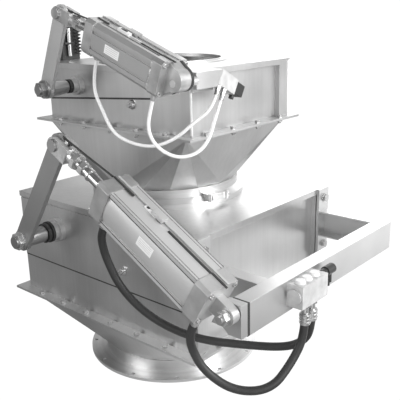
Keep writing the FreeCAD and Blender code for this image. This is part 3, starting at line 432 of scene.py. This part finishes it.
def upper_cylinder_details():
    """Label, sensor with its cable, cap screws with bright strips that paint the highlight of the rear cap's
    joint, and a black strip that paints the shade along the rear cap's bracket outline.
    """
    place, body = cylinder_place("upper"), "upper_barrel"
    label("upper", body, (147, 194), (-11, 8.5), upper_side, 4)
    black, pale, screws = bmesh.new(), bmesh.new(), bmesh.new()
    strip(black, (-118, -50), (-12, -7), (38.5, 40.8))
    strip(black, (-52, -14), (-12, -7), (39.5, 41.9))
    strip(black, (-262, -225), (-12, -7), (38.5, 41.9))
    strip(pale, (-192, -156), (-14, -4), (38.5, 45.5))
    strip(black, (-184, -166), (-12, -6), (45, 46.6))
    strip(pale, (-192, -50), (-6.5, -4), (38.5, 39.9))
    detail(black, "upper_sensor_cable", "black_rubber", body, place)
    detail(pale, "upper_position_sensor", "white_plastic", body, place)
    screw_heads(screws, -22.3, (1, 0, 0), 31, 5.2, 4)
    screw_heads(screws, -267.7, (-1, 0, 0), 31, 5.2, 4)
    # bright strips on the -Y side where the rear cap meets the barrel: painted highlight of the joint
    for z_from, z_to in ((-30, -19), (-15, 12), (17, 29)):
        strip(screws, (-52.5, -48.5), (-40.6, -39), (z_from, z_to))
    detail(screws, "upper_cap_screws_and_joint_highlight", "zinc", body, place)
    # black strip round the rear cap's bracket outline: painted shade along its edge
    bracket_outline_shade = bmesh.new()
    ys, thick = (12, 19.5), 1.4
    (round_x, round_z), round_radius = (-3, 6), 25.8
    outline = [(-22.5, 39.0), (-12, 35.5)]
    outline += [(round_x + round_radius * math.cos(a), round_z + round_radius * math.sin(a))
                for a in (math.radians(degrees) for degrees in range(70, -71, -10))]
    outline += [(-14, -30.5), (-22.5, -38.5)]
    for (x0, z0), (x1, z1) in zip(outline, outline[1:]):
        reach = Vector((x1 - x0, 0, z1 - z0)).cross(Vector((0, 1, 0))).normalized() * -thick
        ends = []
        for x, z in ((x0, z0), (x1, z1)):
            inner = [bracket_outline_shade.verts.new((x, y, z)) for y in ys]
            ends.append(inner + [bracket_outline_shade.verts.new(v.co + reach) for v in reversed(inner)])
        join_rings(bracket_outline_shade, ends)
    detail(bracket_outline_shade, "upper_bracket_outline_shade", "black_rubber", body, place, smooth=False)


def rod_details():
    """Cable that runs from each front cap along the rod to the fork, and the lower rod's nut and ring."""
    place = cylinder_place("lower")
    cable = sweep([Vector(p) for p in ((-389, 0, 45), (-470, 0, 35), (-530, 0, 28), (-566, 0, 24))],
                  2.4, 12)
    detail(cable, "lower_rod_cable", "black_rubber", "lower_rod", place)
    nuts = bmesh.new()
    add_rod(nuts, (-475, 0, 0), (1, 0, 0), 17, 14, sides=6)
    add_rod(nuts, (-450, 0, 0), (1, 0, 0), 15, 5)
    detail(nuts, "lower_rod_nuts", "zinc", "lower_rod", place)
    place = cylinder_place("upper")
    cable = sweep([Vector(p) for p in ((-285, -4, 26), (-310, -4, 22), (-340, -4, 19), (-372, -4, 17))],
                  1.8, 12)
    detail(cable, "upper_rod_cable", "black_rubber", "upper_rod", place)


def stack_details():
    """Rear switch's rod, strap and coiled cable, and near-white rods on the upper casing's corners that paint the
    highlight of its bent edges.
    """
    x, y, z = (1000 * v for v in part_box("rear_switch_box")[1])    # its highest corner
    bright, dark, highlight_rods = bmesh.new(), bmesh.new(), bmesh.new()
    add_rod(bright, (x + 4.5, y - 40, z - 40), (0, 0, 1), 5, 76)
    strip(dark, (x - 1, x + 10), (y - 58, y - 26), (z - 46, z - 41))
    strip(dark, (x - 8, x + 11), (y - 54, y - 20), (z - 2, z + 5))
    detail(bright, "rear_switch_rod", "zinc", "stack", TO_METRES)
    detail(dark, "rear_switch_strap", "black_plastic", "stack", TO_METRES)
    turns, steps, coil_radius, coil_height = 8, 160, 7, 72
    line = []
    for n in range(steps + 1):
        angle = 2 * math.pi * turns * n / steps
        line.append(Vector((x + 8 + coil_radius * math.cos(angle), y - 12 + coil_radius * math.sin(angle),
                            z - 2 - coil_height * n / steps)))
    coil = sweep(line, 1.7, 8)
    detail(coil, "rear_switch_cable", "black_rubber", "stack", TO_METRES)
    # near-white rods down the upper casing's +X corners: painted highlight of its bent edges
    low, high = ([1000 * v for v in corner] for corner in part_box("upper_casing"))
    for y in (low[1] + 0.5, high[1] - 0.5):
        add_rod(highlight_rods, (high[0] - 0.5, y, (low[2] + high[2]) / 2), (0, 0, 1), 3.0, high[2] - low[2] - 8)
    detail(highlight_rods, "casing_corner_painted_highlights", "bright_steel", "stack", TO_METRES, CORNER_PAINTED_HIGHLIGHT)


lower_cylinder_details()
upper_cylinder_details()
rod_details()
stack_details()

# ---------------------------------------------------------------- camera
CAMERA_PLACE = (1.251, -1.2788, 0.9764)
TURN, PITCH, ROLL = (math.radians(degrees) for degrees in (41.53, 16.71, -1.41))
ahead = Vector((-math.sin(TURN) * math.cos(PITCH), math.cos(TURN) * math.cos(PITCH), -math.sin(PITCH)))
level = Vector((math.cos(TURN), math.sin(TURN), 0.0))
above = level.cross(ahead)
right = math.cos(ROLL) * level + math.sin(ROLL) * above
upward = -math.sin(ROLL) * level + math.cos(ROLL) * above
camera = bpy.data.objects.new("camera", bpy.data.cameras.new("camera"))
camera.data.lens = 58.18
camera.data.sensor_width = 36
camera.data.clip_start = 0.05
camera.data.clip_end = 60
rows = Matrix((right, upward, -ahead)).transposed().to_4x4()
camera.matrix_world = Matrix.Translation(CAMERA_PLACE) @ rows
bpy.context.scene.collection.objects.link(camera)
bpy.context.scene.camera = camera

# ---------------------------------------------------------------- floor and light
BRIGHT_SIDE = Vector((0.78, 0.60, 0.10)).normalized()
BACK_WINDOW = Vector((-0.45, 0.86, 0.26)).normalized()
OVERHEAD = (0.0, 0.0, 1.0)
BACKDROP = 1.05              # strength of the plain white that the camera sees
FLOOR_GLOW = 0.19            # light that the whole floor gives off
POOLS = (                    # brighter patches of the floor: centre and radius in metres, and strength
    ((0.38, 0.38), 0.55, 2.6),
    ((0.35, -0.35), 0.6, 0.6),
    ((1.9, 1.6), 2.2, 1.4),
    ((1.4, -1.4), 1.2, 2.7),
    ((-2.3, -2.6), 2.0, 0.9),
)
SIDE_STRENGTH, WINDOW_STRENGTH = 1.5, 1.5


def ramp(tree, value, stops):
    """Curve through (value, level) stops, both from 0 to 1."""
    node = tree.nodes.new("ShaderNodeFloatCurve")
    curve = node.mapping.curves[0]
    curve.points[0].location, curve.points[-1].location = stops[0], stops[-1]
    for stop in stops[1:-1]:
        curve.points.new(*stop)
    node.mapping.update()
    tree.links.new(value, node.inputs["Value"])
    return node.outputs["Value"]


def toward(tree, vector, direction, low, high):
    """How far a vector points along a direction, as 0 to 1 between low and high."""
    dot = tree.nodes.new("ShaderNodeVectorMath")
    dot.operation = "DOT_PRODUCT"
    dot.inputs[1].default_value = direction
    tree.links.new(vector, dot.inputs[0])
    node = tree.nodes.new("ShaderNodeMapRange")
    node.inputs["From Min"].default_value = low
    node.inputs["From Max"].default_value = high
    tree.links.new(dot.outputs["Value"], node.inputs["Value"])
    return node.outputs["Result"]


def pool(tree, vector, centre, radius, strength):
    """Round patch of light on the floor, fading out to its radius in metres."""
    away = tree.nodes.new("ShaderNodeVectorMath")
    away.operation = "DISTANCE"
    away.inputs[1].default_value = (*centre, 0.0)
    tree.links.new(vector, away.inputs[0])
    fade = tree.nodes.new("ShaderNodeMapRange")
    fade.interpolation_type = "SMOOTHSTEP"
    fade.inputs["From Min"].default_value = radius
    fade.inputs["From Max"].default_value = 0.0
    fade.inputs["To Max"].default_value = strength
    tree.links.new(away.outputs["Value"], fade.inputs["Value"])
    return fade.outputs["Result"]


def studio_surface(tree, kind, strength, output):
    """White light of the given strength, which looks plain white where the camera sees it directly."""
    plain, lit = tree.nodes.new(kind), tree.nodes.new(kind)
    for node in (plain, lit):
        node.inputs["Color"].default_value = WHITE
    plain.inputs["Strength"].default_value = BACKDROP
    tree.links.new(strength, lit.inputs["Strength"])
    path = tree.nodes.new("ShaderNodeLightPath")
    mix = tree.nodes.new("ShaderNodeMixShader")
    tree.links.new(path.outputs["Is Camera Ray"], mix.inputs["Fac"])
    tree.links.new(lit.outputs[0], mix.inputs[1])
    tree.links.new(plain.outputs[0], mix.inputs[2])
    tree.links.new(mix.outputs["Shader"], tree.nodes.new(output).inputs["Surface"])


bpy.ops.mesh.primitive_plane_add(size=30, location=(0, 0, -0.0005))
floor = bpy.context.object
floor.name = "floor"
pale = bpy.data.materials.new("floor_pale")
pale.use_nodes = True
tree = pale.node_tree
tree.nodes.clear()
spot = tree.nodes.new("ShaderNodeTexCoord").outputs["Object"]
brightness = FLOOR_GLOW
for centre, radius, strength in POOLS:
    brightness = combine(tree, "ADD", brightness, pool(tree, spot, centre, radius, strength))
studio_surface(tree, "ShaderNodeEmission", brightness, "ShaderNodeOutputMaterial")
floor.data.materials.append(pale)

world = bpy.data.worlds.new("studio")
bpy.context.scene.world = world
world.use_nodes = True
tree = world.node_tree
tree.nodes.clear()
sky = tree.nodes.new("ShaderNodeTexCoord").outputs["Generated"]
round_about = ramp(tree, toward(tree, sky, BRIGHT_SIDE, -1.0, 1.0),
                   [(0, 0.18), (0.3, 0.26), (0.42, 0.36), (0.5, 0.72), (0.56, 1.0), (1, 1.0)])
overhead = ramp(tree, toward(tree, sky, OVERHEAD, 0.0, 1.0),
                [(0, 1.0), (0.3, 1.0), (0.6, 0.45), (1, 0.35)])
window = combine(tree, "MULTIPLY", toward(tree, sky, BACK_WINDOW, 0.89, 1.0), WINDOW_STRENGTH)
general = combine(tree, "MULTIPLY", combine(tree, "MULTIPLY", round_about, overhead), SIDE_STRENGTH)
studio_surface(tree, "ShaderNodeBackground", combine(tree, "ADD", general, window), "ShaderNodeOutputWorld")


def soft_light(name, place, target, size, power):
    lamp = bpy.data.objects.new(name, bpy.data.lights.new(name, "AREA"))
    lamp.data.size = size
    lamp.data.energy = power
    lamp.location = place
    lamp.rotation_euler = (Vector(target) - Vector(place)).to_track_quat("-Z", "Y").to_euler()
    bpy.context.scene.collection.objects.link(lamp)


soft_light("right", (3.0, 0.5, 1.4), (0.2, 0.0, 0.45), 1.8, 70)
soft_light("front", (-0.8, -3.2, 1.7), (0.1, -0.2, 0.5), 1.6, 50)
bpy.context.scene.view_settings.view_transform = "Standard"
